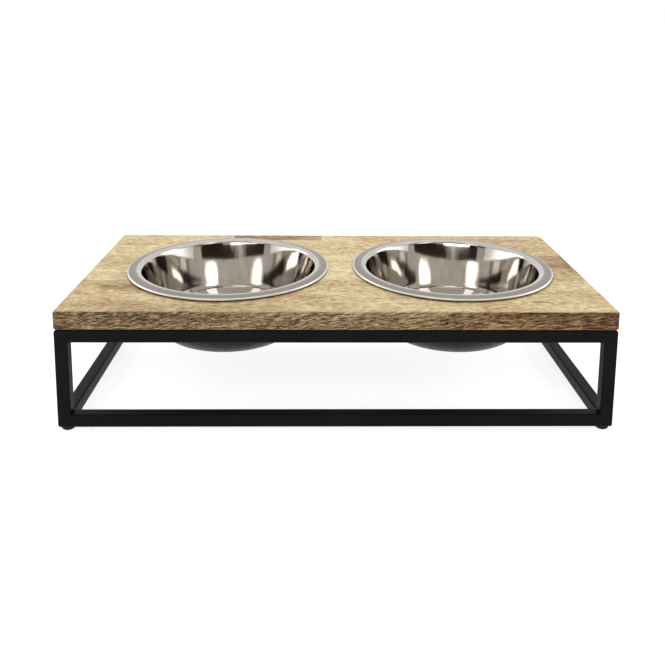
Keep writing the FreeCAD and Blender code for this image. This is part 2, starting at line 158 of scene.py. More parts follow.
def bead(shape, corner, first_way, second_way):
    """One run of weld in the corner between two faces that lead off along the two ways."""
    run_way = first_way.cross(second_way)
    rings = []
    for step in range(BEAD_STEPS + 1):
        along = (step / BEAD_STEPS - 0.5) * BEAD_LENGTH
        ripple = 1 + RIPPLE_SHARE * (abs(math.sin(math.pi * along / RIPPLE_PITCH)) - 1)
        ring = [shape.verts.new(corner + run_way * along)]
        for k in range(BEAD_ARC):
            turn = math.pi / 2 * k / (BEAD_ARC - 1)
            flat = 1 / (math.cos(turn) + math.sin(turn))
            reach = BEAD_WIDTH * ripple * (BEAD_FLATNESS * flat + (1 - BEAD_FLATNESS))
            across = first_way * math.cos(turn) + second_way * math.sin(turn)
            ring.append(shape.verts.new(corner + run_way * along + across * reach))
        rings.append(ring)
    for near, far in zip(rings, rings[1:]):
        for k in range(len(near)):
            after = (k + 1) % len(near)
            shape.faces.new((near[k], near[after], far[after], far[k]))
    shape.faces.new(rings[0][::-1])
    shape.faces.new(rings[-1])


beads = bmesh.new()
for side, sign in (("left", 1), ("right", -1)):
    for level, rise in (("top", -1), ("bottom", 1)):
        low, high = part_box(f"{side}_{level}_rail")
        inner_x = high.x if sign > 0 else low.x
        inner_z = low.z if rise < 0 else high.z
        for end_y, inward in ((low.y, 1), (high.y, -1)):
            into = Vector((0, inward, 0))
            beside = Vector((inner_x, end_y, (low.z + high.z) / 2))
            across = Vector(((low.x + high.x) / 2, end_y, inner_z))
            bead(beads, beside, Vector((sign, 0, 0)), into)
            bead(beads, across, Vector((0, 0, rise)), into)
bmesh.ops.recalc_face_normals(beads, faces=beads.faces)
bead_mesh = bpy.data.meshes.new("weld_beads")
beads.to_mesh(bead_mesh)
beads.free()
bead_mesh.shade_smooth()
bead_mesh.set_sharp_from_angle(angle=BEAD_SHARP)
new_piece("weld_beads", bead_mesh, "stand", ["frame_welds"], "black_powder_coat", powder_coat)

# Feet: moulded black rubber bumpers, glued below the four corners of the frame. Moulded rubber is a
# shade greyer than the powder coat, dull, with a fine even grain from the mould.
RUBBER_BLACK = "#0f0e10"
RUBBER_DUST = "#191819"
DUST_SPOT = 2.5
MOULD_GRAIN = 0.5
GRAIN_DEPTH = 0.08 * MM
rubber, tree, shader = new_material(
    "moulded_black_rubber", Roughness=0.62, IOR=1.52, Specular_IOR_Level=0.22)
place = millimetres(tree)
dust = add(tree, "ShaderNodeTexNoise", {"Vector": place, "Scale": 1 / DUST_SPOT, "Detail": 4.0})
tone = add(tree, "ShaderNodeValToRGB", {0: dust.outputs[0]},
           stops=[(0.4, RUBBER_BLACK), (0.75, RUBBER_DUST)])
tree.links.new(tone.outputs[0], shader.inputs["Base Color"])
grain = add(tree, "ShaderNodeTexVoronoi", {"Vector": place, "Scale": 1 / MOULD_GRAIN})
bump = add(tree, "ShaderNodeBump", {"Strength": 0.2, "Distance": GRAIN_DEPTH, "Height": grain.outputs[0]})
tree.links.new(bump.outputs[0], shader.inputs["Normal"])
dress([f"foot_{end}_{side}" for end in ("front", "rear") for side in ("left", "right")], rubber)

# Panel: mango wood staves, glued edge to edge, planed, routed for the bowls and given a thin satin
# lacquer. The grain runs along the stand: pale golden wood with short brown pore flecks, long soft
# bands and a few dark streaks. The sawn edges and end grain drink the lacquer and turn darker.
WOOD_COLOURS = [
    (0.0, "#f0e2bd"), (0.22, "#dfcd9f"), (0.42, "#c3a97c"), (0.68, "#8c6d4b"), (1.0, "#3c291d")]
PORE_DEPTH = 0.2 * MM

# Figure: sizes along, across and through the stave in millimetres, depth of colour and detail. The
# flecks are drawn coarser than real pores, so that they show in a render.
WOOD_BROAD = [((130.0, 40.0, 30.0), 0.45, 1.0), ((110.0, 7.0, 6.0), 0.42, 2.0)]
WOOD_FINE = [((7.5, 3.0, 1.1), 0.95, 4.0), ((14.0, 1.8, 0.8), 0.65, 3.0)]
WOOD_EDGE = [((60.0, 20.0, 6.0), 0.7, 1.0), ((7.0, 5.0, 0.75), 2.6, 3.0), ((2.4, 2.4, 0.7), 1.2, 2.0)]
WOOD_END = [((400.0, 14.0, 8.0), 0.45, 1.0), ((400.0, 1.2, 1.0), 1.2, 2.0)]
STREAK_SIZE = (160.0, 5.0, 4.0)
STREAK_START, STREAK_FULL = 0.15, 0.24
STREAK_DEPTH = 0.2

# Fibres: the step in the wood from stave to stave, the lengths and reach of their sway, and their
# climb to the right on the sawn edges
STAVE_STEP = (811.0, 97.0, 53.0)
SWAY_LENGTHS = (45.0, 40.0, 30.0)
SWAY_REACH = (0.0, 26.0, 9.0)
FIBRE_CLIMB = 0.14

# End grain: growth rings about a pith below the stave, a little out of round. It starts where a face
# turns endways, and the last two values are the turn at which it starts and is full.
PITH_HEIGHT = 20.0
RING_STEP = 3.4
RING_DEPTH = 0.06
RING_SWAY = 14.0
RING_PUSH = 4.0
END_TONE = 0.62
END_START, END_FULL = 0.75, 0.95

# Sawn edges deepen to both ends and redden to the right. The last two values are how level a face is
# where they start and are full.
EDGE_TONE = 0.55
EDGE_DEEPER = 0.19
EDGE_CAST = "#f6dccb"
EDGE_START, EDGE_FULL = 0.8, 0.4


def fibre_lines(tree, place, along, seed):
    """The place along, across and through the fibres of a stave."""
    stave = add(tree, "ShaderNodeVectorMath", {0: place, 1: tuple(seed * step for step in STAVE_STEP)})
    slow = add(tree, "ShaderNodeVectorMath",
               {0: stave.outputs[0], 1: tuple(1 / length for length in SWAY_LENGTHS)}, operation="MULTIPLY")
    sway = add(tree, "ShaderNodeTexNoise", {"Vector": slow.outputs[0], "Scale": 1.0, "Detail": 2.0})
    centred = add(tree, "ShaderNodeVectorMath", {0: sway.outputs["Color"], 1: (0.5, 0.5, 0.5)},
                  operation="SUBTRACT")
    swayed = add(tree, "ShaderNodeVectorMath",
                 {0: centred.outputs[0], 1: SWAY_REACH, 2: stave.outputs[0]}, operation="MULTIPLY_ADD")
    climb = add(tree, "ShaderNodeMath", {0: along, 1: -FIBRE_CLIMB}, operation="MULTIPLY")
    climbing = add(tree, "ShaderNodeCombineXYZ", {2: climb.outputs[0]})
    return add(tree, "ShaderNodeVectorMath", {0: swayed.outputs[0], 1: climbing.outputs[0]}).outputs[0]


def figure(tree, fibres, size, detail):
    """Noise as long, wide and thick as the size in millimetres, centred on zero."""
    spread = add(tree, "ShaderNodeVectorMath", {0: fibres, 1: tuple(1 / side for side in size)},
                 operation="MULTIPLY")
    noise = add(tree, "ShaderNodeTexNoise",
                {"Vector": spread.outputs[0], "Scale": 1.0, "Detail": detail, "Roughness": 0.65})
    return add(tree, "ShaderNodeMath", {0: noise.outputs[0], 1: 0.5}, operation="SUBTRACT").outputs[0]


def heap(tree, fibres, layers):
    """The sum of layers of figure, each with its size, depth of colour and detail."""
    total = 0.0
    for size, depth, detail in layers:
        layer = add(tree, "ShaderNodeMath", {0: figure(tree, fibres, size, detail), 1: depth, 2: total},
                    operation="MULTIPLY_ADD")
        total = layer.outputs[0]
    return total


def end_grain(tree, place, fibres, stave):
    """The depth of colour across a stave's end: growth rings and open pores."""
    spread = add(tree, "ShaderNodeVectorMath", {0: place, 1: (1 / RING_SWAY,) * 3}, operation="MULTIPLY")
    sway = add(tree, "ShaderNodeTexNoise", {"Vector": spread.outputs[0], "Scale": 1.0, "Detail": 1.0})
    pushed = add(tree, "ShaderNodeVectorMath",
                 {0: sway.outputs["Color"], 1: (0.0, RING_PUSH, RING_PUSH), 2: place},
                 operation="MULTIPLY_ADD")
    across = add(tree, "ShaderNodeVectorMath", {0: pushed.outputs[0], 1: (0, 1, 1)}, operation="MULTIPLY")
    low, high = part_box(stave)
    pith = (0.0, (low.y + high.y) / 2 / MM, PITH_HEIGHT)
    from_pith = add(tree, "ShaderNodeVectorMath", {0: across.outputs[0], 1: pith}, operation="SUBTRACT")
    radius = add(tree, "ShaderNodeVectorMath", {0: from_pith.outputs[0]}, operation="LENGTH")
    turns = add(tree, "ShaderNodeMath", {0: radius.outputs["Value"], 1: 2 * math.pi / RING_STEP},
                operation="MULTIPLY")
    rings = add(tree, "ShaderNodeMath", {0: turns.outputs[0]}, operation="SINE")
    ringed = add(tree, "ShaderNodeMath", {0: rings.outputs[0], 1: RING_DEPTH, 2: END_TONE},
                 operation="MULTIPLY_ADD")
    return add(tree, "ShaderNodeMath", {0: heap(tree, fibres, WOOD_END), 1: ringed.outputs[0]}).outputs[0]


def soft_patch(tree, place, middle, half, blur, depth):
    """The depth of colour of a darker rectangle on the panel, which fades over the blur."""
    offset = add(tree, "ShaderNodeVectorMath", {0: place, 1: (*middle, 0.0)}, operation="SUBTRACT")
    beside = add(tree, "ShaderNodeVectorMath", {0: offset.outputs[0]}, operation="ABSOLUTE")
    outside = add(tree, "ShaderNodeVectorMath", {0: beside.outputs[0], 1: (*half, 0.0)},
                  operation="SUBTRACT")
    sides = add(tree, "ShaderNodeSeparateXYZ", {0: outside.outputs[0]})
    furthest = add(tree, "ShaderNodeMath", {0: sides.outputs[0], 1: sides.outputs[1]},
                   operation="MAXIMUM")
    return add(tree, "ShaderNodeMapRange",
               {"Value": furthest.outputs[0], "From Min": blur, "From Max": 0.0, "To Max": depth},
               interpolation_type="SMOOTHSTEP").outputs[0]


def mango_wood(name, staves, seed, tone, tone_left, tone_right, patch):
    """Dresses staves. Tone is their depth of colour, from 0 to 1, with what the two ends and a patch add."""
    material, tree, shader = new_material(name, Roughness=0.5, IOR=1.5, Specular_IOR_Level=0.25)
    place = millimetres(tree)
    along = add(tree, "ShaderNodeSeparateXYZ", {0: place}).outputs[0]
    fibres = fibre_lines(tree, place, along, seed)
    half = cad_box[1].x / MM
    leftward, rightward = [
        add(tree, "ShaderNodeMapRange", {"Value": along, "From Min": 0.0, "From Max": tip}).outputs[0]
        for tip in (-half, half)]
    facing = add(tree, "ShaderNodeSeparateXYZ", {0: add(tree, "ShaderNodeTexCoord").outputs["Normal"]})
    endways, upright = [
        add(tree, "ShaderNodeMath", {0: facing.outputs[way]}, operation="ABSOLUTE").outputs[0]
        for way in ("X", "Z")]
    end = add(tree, "ShaderNodeMapRange",
              {"Value": endways, "From Min": END_START, "From Max": END_FULL}).outputs[0]
    edge = add(tree, "ShaderNodeMapRange",
               {"Value": upright, "From Min": EDGE_START, "From Max": EDGE_FULL}).outputs[0]

    # Planed faces: the tone along the stave with its figure, dark streaks and patch
    streaks = add(tree, "ShaderNodeMapRange",
                  {"Value": figure(tree, fibres, STREAK_SIZE, 1.0), "From Min": STREAK_START,
                   "From Max": STREAK_FULL, "To Max": STREAK_DEPTH}, interpolation_type="SMOOTHSTEP")
    planed = tone
    for share, more in ((leftward, tone_left), (rightward, tone_right)):
        run = add(tree, "ShaderNodeMath", {0: share, 1: more, 2: planed}, operation="MULTIPLY_ADD")
        planed = run.outputs[0]
    for layer in (heap(tree, fibres, WOOD_BROAD), heap(tree, fibres, WOOD_FINE), streaks.outputs[0],
                  soft_patch(tree, place, **patch)):
        planed = add(tree, "ShaderNodeMath", {0: planed, 1: layer}).outputs[0]

    # Sawn edges and ends
    outward = add(tree, "ShaderNodeMath", {0: leftward, 1: rightward})
    edge_run = add(tree, "ShaderNodeMath", {0: outward.outputs[0], 1: EDGE_DEEPER, 2: EDGE_TONE},
                   operation="MULTIPLY_ADD")
    sawn = add(tree, "ShaderNodeMath", {0: heap(tree, fibres, WOOD_EDGE), 1: edge_run.outputs[0]})
    sides = add(tree, "ShaderNodeMix", {0: edge, 2: planed, 3: sawn.outputs[0]}).outputs[0]
    ends = end_grain(tree, place, fibres, staves[0])
    shade = add(tree, "ShaderNodeMix", {0: end, 2: sides, 3: ends}).outputs[0]

    colour = add(tree, "ShaderNodeValToRGB", {0: shade}, stops=WOOD_COLOURS)
    redder = add(tree, "ShaderNodeMath", {0: rightward, 1: edge}, operation="MULTIPLY")
    long_edges = add(tree, "ShaderNodeMath", {0: redder.outputs[0], 1: end}, operation="SUBTRACT",
                     use_clamp=True)
    cast = add(tree, "ShaderNodeMix",
               {0: long_edges.outputs[0], 6: colour.outputs[0], 7: linear(EDGE_CAST)},
               data_type="RGBA", blend_type="MULTIPLY")
    tree.links.new(cast.outputs[2], shader.inputs["Base Color"])
    relief = add(tree, "ShaderNodeBump", {"Strength": 0.3, "Distance": PORE_DEPTH, "Height": shade},
                 invert=True)
    tree.links.new(relief.outputs[0], shader.inputs["Normal"])
    dress(staves, material)


mango_wood("mango_front_stave", ["top_stave_front"], seed=1, tone=0.41, tone_left=0.07, tone_right=-0.03,
           patch={"middle": (-145, -44), "half": (24, 2), "blur": 16, "depth": 0.12})
mango_wood("mango_rear_stave", ["top_stave_rear"], seed=2, tone=0.36, tone_left=0.02, tone_right=0.05,
           patch={"middle": (-52, 93), "half": (40.5, 10), "blur": 1.5, "depth": 0.28})
mango_wood("mango_middle_stave", [f"top_stave_middle_{part}" for part in ("left", "center", "right")],
           seed=3, tone=0.22, tone_left=0.14, tone_right=0.32,
           patch={"middle": (190, 20), "half": (8, 20), "blur": 30, "depth": 0.05})

# Screws: pan-head wood screws of zinc-plated steel, driven up through the top rails into the panel.
# Their heads sit inside the tube and show only from below, through the access holes. The plating is
# a pale cool grey with a fine mottle.
SCREW_HEAD_RADIUS = 2.9 * MM
SCREW_HEAD_HEIGHT = 2.0 * MM
SCREW_HEAD_RIM = 0.3
SCREW_RADIUS = 1.6 * MM
SCREW_CORE = 1.15 * MM
SCREW_TIP = 3.0 * MM
SCREW_STEP = 149.9 * MM
THREAD_PITCH = 1.4 * MM
THREAD_SHARPNESS = 5
CROSS_HALF = 0.45 * MM
CROSS_REACH = 1.5 * MM
CROSS_DEPTH = 1.1 * MM
CROSS_RINGS = 6
DOME_RINGS = 8
SHANK_RINGS = 60
SCREW_SEGMENTS = 48
TURNED_SHARP = math.radians(40)
ZINC_DEEP = "#b9bcc0"
ZINC_PALE = "#d0d2d3"
ZINC_MOTTLE = 0.6


def lathe(name, profile, segments):
    """A closed mesh turned about Z from a profile of (radius, height, finish), from Z out and back to Z."""
    mesh = bpy.data.meshes.new(name)
    shape = bmesh.new()
    turns = [2 * math.pi * k / segments for k in range(segments)]
    rings = []
    for radius, height, _ in profile:
        if radius == 0:
            rings.append([shape.verts.new((0, 0, height))])
            continue
        rings.append([shape.verts.new((radius * math.cos(t), radius * math.sin(t), height)) for t in turns])
    for (near, far), (_, _, finish) in zip(zip(rings, rings[1:]), profile):
        for k in range(segments):
            after = (k + 1) % segments
            loop = [near[k % len(near)], near[after % len(near)]]
            loop += [far[after % len(far)], far[k % len(far)]]
            face = shape.faces.new(list(dict.fromkeys(loop)))
            face.material_index = finish
            face.smooth = True
    bmesh.ops.recalc_face_normals(shape, faces=shape.faces)
    shape.to_mesh(mesh)
    shape.free()
    mesh.set_sharp_from_angle(angle=TURNED_SHARP)
    return mesh


screw_low, screw_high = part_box("top_screws")
head_seat = screw_low.z + SCREW_HEAD_HEIGHT
shank_top = screw_high.z - head_seat
profile = [(CROSS_REACH * k / CROSS_RINGS, -SCREW_HEAD_HEIGHT, 0) for k in range(CROSS_RINGS + 1)]
for k in range(1, DOME_RINGS + 1):
    turn = math.pi / 2 * k / DOME_RINGS
    reach = CROSS_REACH + (SCREW_HEAD_RADIUS - CROSS_REACH) * math.sin(turn)
    drop = SCREW_HEAD_HEIGHT * (SCREW_HEAD_RIM + (1 - SCREW_HEAD_RIM) * math.cos(turn))
    profile.append((reach, -drop, 0))
profile.append((SCREW_HEAD_RADIUS, 0, 0))
profile += [(SCREW_RADIUS, shank_top * k / SHANK_RINGS, 0) for k in range(SHANK_RINGS)]
profile.append((0, shank_top, 0))
screw_mesh = lathe("wood_screw", profile, SCREW_SEGMENTS)
for vertex in screw_mesh.vertices:
    x, y, z = vertex.co
    radius = math.hypot(x, y)
    if z < 0 and radius < CROSS_REACH and min(abs(x), abs(y)) < CROSS_HALF:
        vertex.co.z += CROSS_DEPTH * (1 - radius / CROSS_REACH)
    if z > 0 and radius > 0:
        phase = (z / THREAD_PITCH + math.atan2(y, x) / (2 * math.pi)) % 1
        crest = max(0, 1 - THREAD_SHARPNESS * abs(phase - 0.5))
        tip = min(1, (shank_top - z) / SCREW_TIP)
        wanted = (SCREW_CORE + (SCREW_RADIUS - SCREW_CORE) * crest) * tip
        vertex.co.x *= wanted / radius
        vertex.co.y *= wanted / radius

zinc, tree, shader = new_material("zinc_plated_steel", Metallic=1.0, Roughness=0.32)
place = millimetres(tree)
mottle = add(tree, "ShaderNodeTexVoronoi", {"Vector": place, "Scale": 1 / ZINC_MOTTLE})
tone = add(tree, "ShaderNodeValToRGB", {0: mottle.outputs[0]}, stops=[(0.0, ZINC_DEEP), (1.0, ZINC_PALE)])
tree.links.new(tone.outputs[0], shader.inputs["Base Color"])

rail_x = screw_high.x - SCREW_HEAD_RADIUS
rail_y = screw_high.y - SCREW_HEAD_RADIUS
spots = [(k * SCREW_STEP, end * rail_y) for end in (-1, 1) for k in (-1, 0, 1)]
spots += [(-rail_x, 0), (rail_x, 0)]
screws = bmesh.new()
for spot_x, spot_y in spots:
    first = len(screws.verts)
    screws.from_mesh(screw_mesh)
    screws.verts.ensure_lookup_table()
    bmesh.ops.translate(screws, verts=screws.verts[first:], vec=(spot_x, spot_y, head_seat))
all_screws = bpy.data.meshes.new("wood_screws")
screws.to_mesh(all_screws)
screws.free()
new_piece("wood_screws", all_screws, "stand", ["top_screws"], "zinc_screw", zinc)

# Bowls: two deep-drawn stainless steel bowls that hang in the panel's holes by their flanges. The
# inside is buffed to a mirror, the flange is satin from a fine abrasive turned round it, and the
# outside keeps the dull drawn finish, coloured far darker than bare steel as painted shade. The sheet
# is a little uneven, which bends the reflections.

# Sizes in millimetres, and rings of points in each stretch of the section
BOWL_SHEET = 0.7
BOWL_DEPTH = 53.3
BOWL_CORNER = 23.0
BOWL_TAPER = math.radians(11.4)
BOWL_WALL_BOW = 0.2
BOWL_MOUTH = 70.0
BOWL_LIP = 3.0
BOWL_FALL = math.radians(5.5)
BOWL_RIM = 81.5
BOWL_CURL = 1.0
BOWL_SEAT_GAP = 0.3
BOWL_SEGMENTS = 320
FLOOR_RINGS = 10
CORNER_RINGS = 24
WALL_RINGS = 14
LIP_RINGS = 14
FLANGE_RINGS = 8
CURL_RINGS = 8
POLISHED, SATIN, DRAWN = range(3)

# Waves of the sheet: how many go round the bowl, how deep in millimetres, and where they start
BOWL_WAVES = {
    "left": ((2, 0.10, 0.4), (5, 0.03, 1.1), (13, 0.03, 2.0), (31, 0.02, 0.6)),
    "right": ((3, 0.20, 2.1), (7, 0.05, 0.3), (17, 0.03, 0.7), (37, 0.02, 1.9)),
}


def bowl_profile():
    """The bowl's section as (radius, height above the panel, finish) in millimetres, out and back again."""
    curl = Vector((BOWL_RIM - BOWL_CURL, BOWL_SEAT_GAP + BOWL_CURL))
    corner_z = BOWL_CORNER - BOWL_DEPTH
    floor_radius = BOWL_MOUTH - (BOWL_CORNER - corner_z * math.sin(BOWL_TAPER)) / math.cos(BOWL_TAPER)
    corner = Vector((floor_radius, corner_z))
    wall_out = Vector((math.cos(BOWL_TAPER), -math.sin(BOWL_TAPER)))
    flange_up = Vector((math.sin(BOWL_FALL), math.cos(BOWL_FALL)))

    # The lip's centre lies one lip radius behind the wall's line and one below the flange's
    wall_reach = wall_out.dot(Vector((BOWL_MOUTH, 0))) + BOWL_LIP
    flange_reach = flange_up.dot(curl) + BOWL_CURL - BOWL_LIP
    span = wall_out.x * flange_up.y - wall_out.y * flange_up.x
    lip = Vector(((wall_reach * flange_up.y - flange_reach * wall_out.y) / span,
                  (wall_out.x * flange_reach - flange_up.x * wall_reach) / span))

    def arc(centre, radius, start, finish, count):
        """Points along an arc, from one angle to the other."""
        for k in range(count + 1):
            turn = start + (finish - start) * k / count
            yield centre + Vector((math.cos(turn), math.sin(turn))) * radius

    def face(offset, inside, flange, edge):
        """The section of one face of the sheet, offset below the food side, with its finishes."""
        downward = -math.pi / 2
        for k in range(FLOOR_RINGS):
            yield (floor_radius * k / FLOOR_RINGS, -BOWL_DEPTH - offset, inside)
        bend = arc(corner, BOWL_CORNER + offset, downward, -BOWL_TAPER, CORNER_RINGS)
        yield from ((*p, inside) for p in bend)
        wall_foot = corner + wall_out * (BOWL_CORNER + offset)
        lip_foot = lip - wall_out * (BOWL_LIP - offset)
        for k in range(1, WALL_RINGS):
            bow = wall_out * BOWL_WALL_BOW * math.sin(math.pi * k / WALL_RINGS)
            yield (*(wall_foot.lerp(lip_foot, k / WALL_RINGS) - bow), inside)
        start, finish = math.pi - BOWL_TAPER, math.pi / 2 - BOWL_FALL
        yield from ((*p, inside) for p in arc(lip, BOWL_LIP - offset, start, finish, LIP_RINGS))
        lip_top = lip + flange_up * (BOWL_LIP - offset)
        flange_end = curl + flange_up * (BOWL_CURL - offset)
        for k in range(1, FLANGE_RINGS):
            yield (*lip_top.lerp(flange_end, k / FLANGE_RINGS), flange)
        upper_curl = arc(curl, BOWL_CURL - offset, finish, 0, CURL_RINGS)
        # The curl's lower half takes the dark drawn finish, painted shade for the dark line under the rim
        lower_curl = list(arc(curl, BOWL_CURL - offset, 0, downward, CURL_RINGS))[1:]
        yield from ((*p, flange) for p in upper_curl)
        yield from ((*p, edge) for p in lower_curl)

    food_side = list(face(0, POLISHED, SATIN, DRAWN))
    under_side = list(face(BOWL_SHEET, DRAWN, DRAWN, DRAWN))
    return food_side + under_side[::-1]


# Buffed steel: a warm mirror with a faint haze
BUFFED_DEEP = "#c1bbb3"
BUFFED_PALE = "#cdc8c1"
BUFFED_HAZE = 18.0
polished, tree, shader = new_material("buffed_stainless_steel", Metallic=1.0, Roughness=0.07)
place = millimetres(tree)
haze = add(tree, "ShaderNodeTexNoise", {"Vector": place, "Scale": 1 / BUFFED_HAZE, "Detail": 3.0})
tone = add(tree, "ShaderNodeValToRGB", {0: haze.outputs[0]},
           stops=[(0.35, BUFFED_DEEP), (0.65, BUFFED_PALE)])
tree.links.new(tone.outputs[0], shader.inputs["Base Color"])

# Satin steel: the abrasive's lines run round the flange, several times as coarse as real ones so that
# they show. Its colour carries painted highlights beside the lip and at its outer edge, with painted shade
# between.
SCRATCH_STEP = 0.35
SCRATCH_DEPTH = 0.03 * MM
SCRATCH_DEEP = "#e3e2e0"
SCRATCH_PALE = "#ffffff"
FLANGE_INNER = 71.0
# Painted highlights and painted shade in rings across the flange, from the lip out to the curl
FLANGE_PAINTED_LIGHT = [(0.0, "#857f78"), (0.12, "#c4bfb7"), (0.24, "#a6a199"),
                (0.72, "#8f8a82"), (0.86, "#9d9890"), (0.93, "#e8e4dd")]
satin, tree, shader = new_material("satin_stainless_steel", Metallic=1.0, Roughness=0.28, Anisotropic=0.4)
place = millimetres(tree)
parts = add(tree, "ShaderNodeSeparateXYZ", {0: place})
flat = add(tree, "ShaderNodeCombineXYZ", {0: parts.outputs[0], 1: parts.outputs[1]})
radius = add(tree, "ShaderNodeVectorMath", {0: flat.outputs[0]}, operation="LENGTH").outputs["Value"]
lines = add(tree, "ShaderNodeTexNoise", {"W": radius, "Scale": 1 / SCRATCH_STEP, "Detail": 2.0},
            noise_dimensions="1D")
tone = add(tree, "ShaderNodeValToRGB", {0: lines.outputs[0]},
           stops=[(0.3, SCRATCH_DEEP), (0.7, SCRATCH_PALE)])
across = add(tree, "ShaderNodeMapRange",
             {"Value": radius, "From Min": FLANGE_INNER, "From Max": BOWL_RIM})
ring = add(tree, "ShaderNodeValToRGB", {0: across.outputs[0]}, stops=FLANGE_PAINTED_LIGHT)
brushed = add(tree, "ShaderNodeMix", {0: 1.0, 6: ring.outputs[0], 7: tone.outputs[0]}, data_type="RGBA",
              blend_type="MULTIPLY")
tree.links.new(brushed.outputs[2], shader.inputs["Base Color"])
bump = add(tree, "ShaderNodeBump", {"Strength": 0.12, "Distance": SCRATCH_DEPTH, "Height": lines.outputs[0]})
tree.links.new(bump.outputs[0], shader.inputs["Normal"])
round_way = add(tree, "ShaderNodeTangent", direction_type="RADIAL", axis="Z")
tree.links.new(round_way.outputs[0], shader.inputs["Tangent"])

# Drawn steel: dull, with streaks up the wall from the die. Its dark colour is painted shade, far
# darker than bare steel, standing for the shaded floor and panel that the outside reflects
DRAWN_SHADE_DEEP = "#2d2b29"
DRAWN_SHADE_PALE = "#3b3836"
DRAWN_STREAK = (6.0, 6.0, 40.0)
drawn, tree, shader = new_material("drawn_steel_painted_shade", Metallic=1.0, Roughness=0.4)
place = millimetres(tree)
stretch = add(tree, "ShaderNodeVectorMath", {0: place, 1: tuple(1 / side for side in DRAWN_STREAK)},
              operation="MULTIPLY")
streaks = add(tree, "ShaderNodeTexNoise", {"Vector": stretch.outputs[0], "Scale": 1.0, "Detail": 4.0})
tone = add(tree, "ShaderNodeValToRGB", {0: streaks.outputs[0]},
           stops=[(0.35, DRAWN_SHADE_DEEP), (0.7, DRAWN_SHADE_PALE)])
tree.links.new(tone.outputs[0], shader.inputs["Base Color"])

panel_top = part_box("top_stave_front")[1].z
for side, waves in BOWL_WAVES.items():
    low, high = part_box(f"bowl_{side}")
    section = [(radius * MM, height * MM, finish) for radius, height, finish in bowl_profile()]
    mesh = lathe(f"steel_bowl_{side}", section, BOWL_SEGMENTS)
    for vertex in mesh.vertices:
        radius = math.hypot(vertex.co.x, vertex.co.y)
        share = -vertex.co.z / (BOWL_DEPTH * MM)
        if 0 < share < 1 and radius > 0:
            turn = math.atan2(vertex.co.y, vertex.co.x)
            swell = sum(depth * math.sin(count * turn + start) for count, depth, start in waves)
            vertex.co.xy *= 1 + swell * MM * math.sin(math.pi * share) / radius
    bowl = new_piece(f"steel_bowl_{side}", mesh, f"{side}_bowl", [f"bowl_{side}"], "stainless_steel",
                     polished, satin, drawn)
    bowl.location = ((low.x + high.x) / 2, (low.y + high.y) / 2, panel_top)

# Studio: a white floor and surround, softboxes, and in front, where the camera stands, cloths and walls
# that show in the steel. The floor's own glow for camera, glossy and transmission rays keeps its
# shadow faint. It is a little stronger past the softboxes' pools of light than near the stand.
WHITE = "#ffffff"
BLACK = "#000000"
FLOOR_SIDE = 60.0
FLOOR_GREY = "#b5b5b5"
GLOW_NEAR, GLOW_FAR = 0.84, 1.0
NEAR_RADIUS, FAR_RADIUS = 0.3, 1.1
AMBIENT = 0.30


def sheet(name, width, height, material):
    """A flat rectangle about its own middle."""
    mesh = bpy.data.meshes.new(name)
    corners = [(x * width / 2, y * height / 2, 0) for x, y in ((-1, -1), (1, -1), (1, 1), (-1, 1))]
    mesh.from_pydata(corners, [], [(0, 1, 2, 3)])
    mesh.materials.append(material)
    return bpy.data.objects.new(name, mesh)


def seen_rays(tree):
    """One for camera, glossy and transmission rays, and nothing for the rest."""
    path = add(tree, "ShaderNodeLightPath")
    total = path.outputs["Is Camera Ray"]
    for kind in ("Is Glossy Ray", "Is Transmission Ray"):
        total = add(tree, "ShaderNodeMath", {0: total, 1: path.outputs[kind]}, use_clamp=True).outputs[0]
    return total


white_floor, tree, shader = new_material(
    "white_floor", Base_Color=linear(FLOOR_GREY), Roughness=0.9, Specular_IOR_Level=0.0,
    Emission_Color=linear(WHITE))
from_stand = add(tree, "ShaderNodeVectorMath", {0: add(tree, "ShaderNodeTexCoord").outputs["Object"]},
                 operation="LENGTH")
level = add(tree, "ShaderNodeMapRange",
            {"Value": from_stand.outputs["Value"], "From Min": NEAR_RADIUS, "From Max": FAR_RADIUS,
             "To Min": GLOW_NEAR, "To Max": GLOW_FAR}, interpolation_type="SMOOTHSTEP")
glow = add(tree, "ShaderNodeMath", {0: seen_rays(tree), 1: level.outputs[0]}, operation="MULTIPLY")
tree.links.new(glow.outputs[0], shader.inputs["Emission Strength"])
floor = sheet("studio_floor", FLOOR_SIDE, FLOOR_SIDE, white_floor)
bpy.context.scene.collection.objects.link(floor)

world = bpy.data.worlds.new("white_surround")
bpy.context.scene.world = world
world.use_nodes = True
tree = world.node_tree
tree.nodes.clear()
fill = add(tree, "ShaderNodeBackground", {"Color": linear(WHITE), "Strength": AMBIENT})
white = add(tree, "ShaderNodeBackground", {"Color": linear(WHITE), "Strength": 1.0})
either = add(tree, "ShaderNodeMixShader", {0: seen_rays(tree), 1: fill.outputs[0], 2: white.outputs[0]})
add(tree, "ShaderNodeOutputWorld", {"Surface": either.outputs[0]})

# Lamps light the part and are kept out of reflections: bearing from straight behind the stand, height
# angle, distance, width, height and radiance
AIM = Vector((0.0, 0.0, 0.07))
LAMPS = {
    "softbox_left": (-62, 26, 1.1, 0.70, 0.34, 4.0),
    "softbox_right": (76, 26, 1.1, 0.70, 0.34, 4.0),
    "strip_left": (-88, 5, 1.1, 1.1, 0.24, 1.8),
    "strip_right": (88, 5, 1.1, 1.1, 0.24, 1.8),
    "overhead_bank": (0, 60, 1.6, 1.6, 1.2, 2.1),
    "front_fill": (180, 32, 1.5, 1.2, 0.8, 2.2),
}


def stand_at(thing, bearing, rise, distance):
    """Sets a thing up at a bearing, facing the part."""
    angle, up = math.radians(bearing), math.radians(rise)
    away = Vector((math.sin(angle) * math.cos(up), math.cos(angle) * math.cos(up), math.sin(up)))
    thing.location = AIM + away * distance
    thing.rotation_euler = away.to_track_quat("Z", "Y").to_euler()


